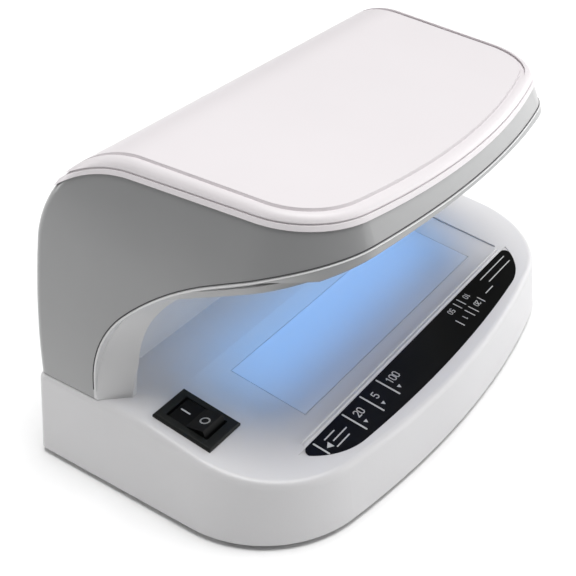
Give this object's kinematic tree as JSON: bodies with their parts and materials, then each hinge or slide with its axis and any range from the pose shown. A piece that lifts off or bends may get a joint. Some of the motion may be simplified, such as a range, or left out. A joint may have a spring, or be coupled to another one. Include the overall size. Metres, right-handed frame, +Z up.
{
  "type": "banknote checker",
  "caption": "Desktop ultraviolet banknote checker: sloping base with a lit bed, label and rocker switch under a hood open at the front and both sides.",
  "frame": {"origin": "on the surface the feet stand on, below the middle of the object's outline", "axes": "+X to the right seen from the user at the front, +Y to the back, +Z up"},
  "size_m": [0.2264, 0.128, 0.1257],
  "materials": {
    "hood_gray": "satin",
    "cover_white": "satin",
    "base_white": "satin",
    "liner_gray": "fine matte",
    "label_black": "printed film",
    "switch_black": "gloss",
    "foot_rubber": "matte",
    "screw_steel": "zinc plated",
    "bottom_gray": "fine matte",
    "window_opal": "opal acrylic",
    "lamp_clear": "clear acrylic",
    "lamp_tube": "phosphor coated, lit",
    "cap_metal": "satin",
    "holder_white": "matte",
    "reflector_metal": "bright",
    "board_green": "solder mask",
    "led_body": "moulded",
    "choke_core": "varnished",
    "capacitor_sleeve": "shrink sleeve",
    "connector_white": "matte",
    "contact_brass": "plain",
    "spring_steel": "plain",
    "wire_sleeve": "smooth"
  },
  "bodies": {
    "housing": {"base_shell": "base_white", "bottom_cover": "bottom_gray", "rubber_feet": "foot_rubber", "base_screws": "screw_steel", "control_label": "label_black", "bed_window": "window_opal", "backlight_board": "board_green", "backlight_leds": "led_body", "hood_shell": "hood_gray", "hood_top_cover": "cover_white", "hood_liner": "liner_gray", "hood_screws": "screw_steel", "liner_screws": "screw_steel", "uv_tube_front": "lamp_tube", "uv_tube_rear": "lamp_tube", "tube_caps": "cap_metal", "lamp_holder_left": "holder_white", "lamp_holder_right": "holder_white", "holder_screws": "screw_steel", "lamp_reflector": "reflector_metal", "reflector_screws": "screw_steel", "lamp_window": "lamp_clear", "ballast_board": "board_green", "ballast_choke": "choke_core", "ballast_capacitors": "capacitor_sleeve", "ballast_connectors": "connector_white", "board_screws": "screw_steel", "switch_bezel": "switch_black", "switch_housing": "switch_black", "switch_terminals": "contact_brass", "power_inlet": "switch_black", "inlet_pins": "contact_brass", "lamp_wires": "wire_sleeve", "inlet_wires": "wire_sleeve"},
    "rocker": {"switch_rocker": "switch_black", "switch_plunger": "contact_brass", "switch_spring": "spring_steel"},
    "contact": {"switch_contact": "contact_brass"}
  },
  "joints": [
    {"name": "rocker_hinge", "type": "hinge", "parent": "housing", "child": "rocker", "pos_m": [-0.0945, -0.00075, 0.03181], "axis": [1, 0, 0], "range_deg": [0, 18]},
    {"name": "contact_hinge", "type": "hinge", "parent": "housing", "child": "contact", "pos_m": [-0.0945, 0.00052, 0.023], "axis": [1, 0, 0], "range_deg": [-16, 0]}
  ],
  "couplings": [
    {"joint": "contact_hinge", "follows": "rocker_hinge", "ratio": -0.8888}
  ]
}
